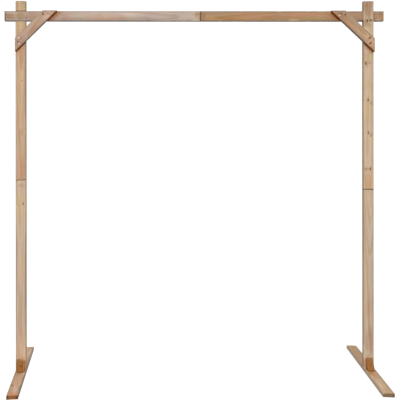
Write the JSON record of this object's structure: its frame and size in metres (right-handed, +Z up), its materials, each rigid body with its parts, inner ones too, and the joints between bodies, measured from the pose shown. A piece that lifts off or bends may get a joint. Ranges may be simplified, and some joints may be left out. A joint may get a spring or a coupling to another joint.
{
  "type": "wooden wedding arch",
  "caption": "Free-standing square wooden wedding arch: spliced posts and a halved beam of planed boards, corner braces, and flat foot boards with wedge blocks.",
  "frame": {"origin": "on the ground, under the middle of the arch's outer box", "axes": "+X along the beam to the right as seen from the front, +Y from front to back, +Z up"},
  "size_m": [2.02, 0.6093, 1.982],
  "materials": {
    "pale_pine": "planed softwood, lightly toned, matt",
    "beam_pine": "planed softwood, greyer and warmer tone, matt",
    "foot_pine": "planed softwood, a little soiled, matt",
    "end_grain_pine": "sawn end grain that took up the stain darkly",
    "zinc_plate": "zinc-plated sheet steel",
    "screw_steel": "yellow-zinc wood screws, dulled"
  },
  "bodies": {
    "root": {"left_foot_board": "foot_pine", "right_foot_board": "foot_pine", "left_front_foot_block": "end_grain_pine", "left_rear_foot_block": "end_grain_pine", "right_front_foot_block": "end_grain_pine", "right_rear_foot_block": "end_grain_pine", "left_post_lower": "pale_pine", "left_post_upper": "pale_pine", "right_post_lower": "pale_pine", "right_post_upper": "pale_pine", "beam_left": "beam_pine", "beam_right": "beam_pine", "left_corner_brace": "pale_pine", "right_corner_brace": "pale_pine", "left_post_splice_plate": "zinc_plate", "right_post_splice_plate": "zinc_plate", "beam_splice_plate": "zinc_plate", "left_brace_screw_1": "screw_steel", "left_brace_screw_2": "screw_steel", "left_brace_screw_3": "screw_steel", "left_brace_screw_4": "screw_steel", "right_brace_screw_1": "screw_steel", "right_brace_screw_2": "screw_steel", "right_brace_screw_3": "screw_steel", "right_brace_screw_4": "screw_steel", "left_foot_screw_1": "screw_steel", "left_foot_screw_2": "screw_steel", "right_foot_screw_1": "screw_steel", "right_foot_screw_2": "screw_steel", "left_front_block_screw": "screw_steel", "left_rear_block_screw": "screw_steel", "right_front_block_screw": "screw_steel", "right_rear_block_screw": "screw_steel", "left_post_splice_screw_1": "screw_steel", "left_post_splice_screw_2": "screw_steel", "left_post_splice_screw_3": "screw_steel", "left_post_splice_screw_4": "screw_steel", "right_post_splice_screw_1": "screw_steel", "right_post_splice_screw_2": "screw_steel", "right_post_splice_screw_3": "screw_steel", "right_post_splice_screw_4": "screw_steel", "beam_splice_screw_1": "screw_steel", "beam_splice_screw_2": "screw_steel", "beam_splice_screw_3": "screw_steel", "beam_splice_screw_4": "screw_steel"}
  },
  "joints": []
}
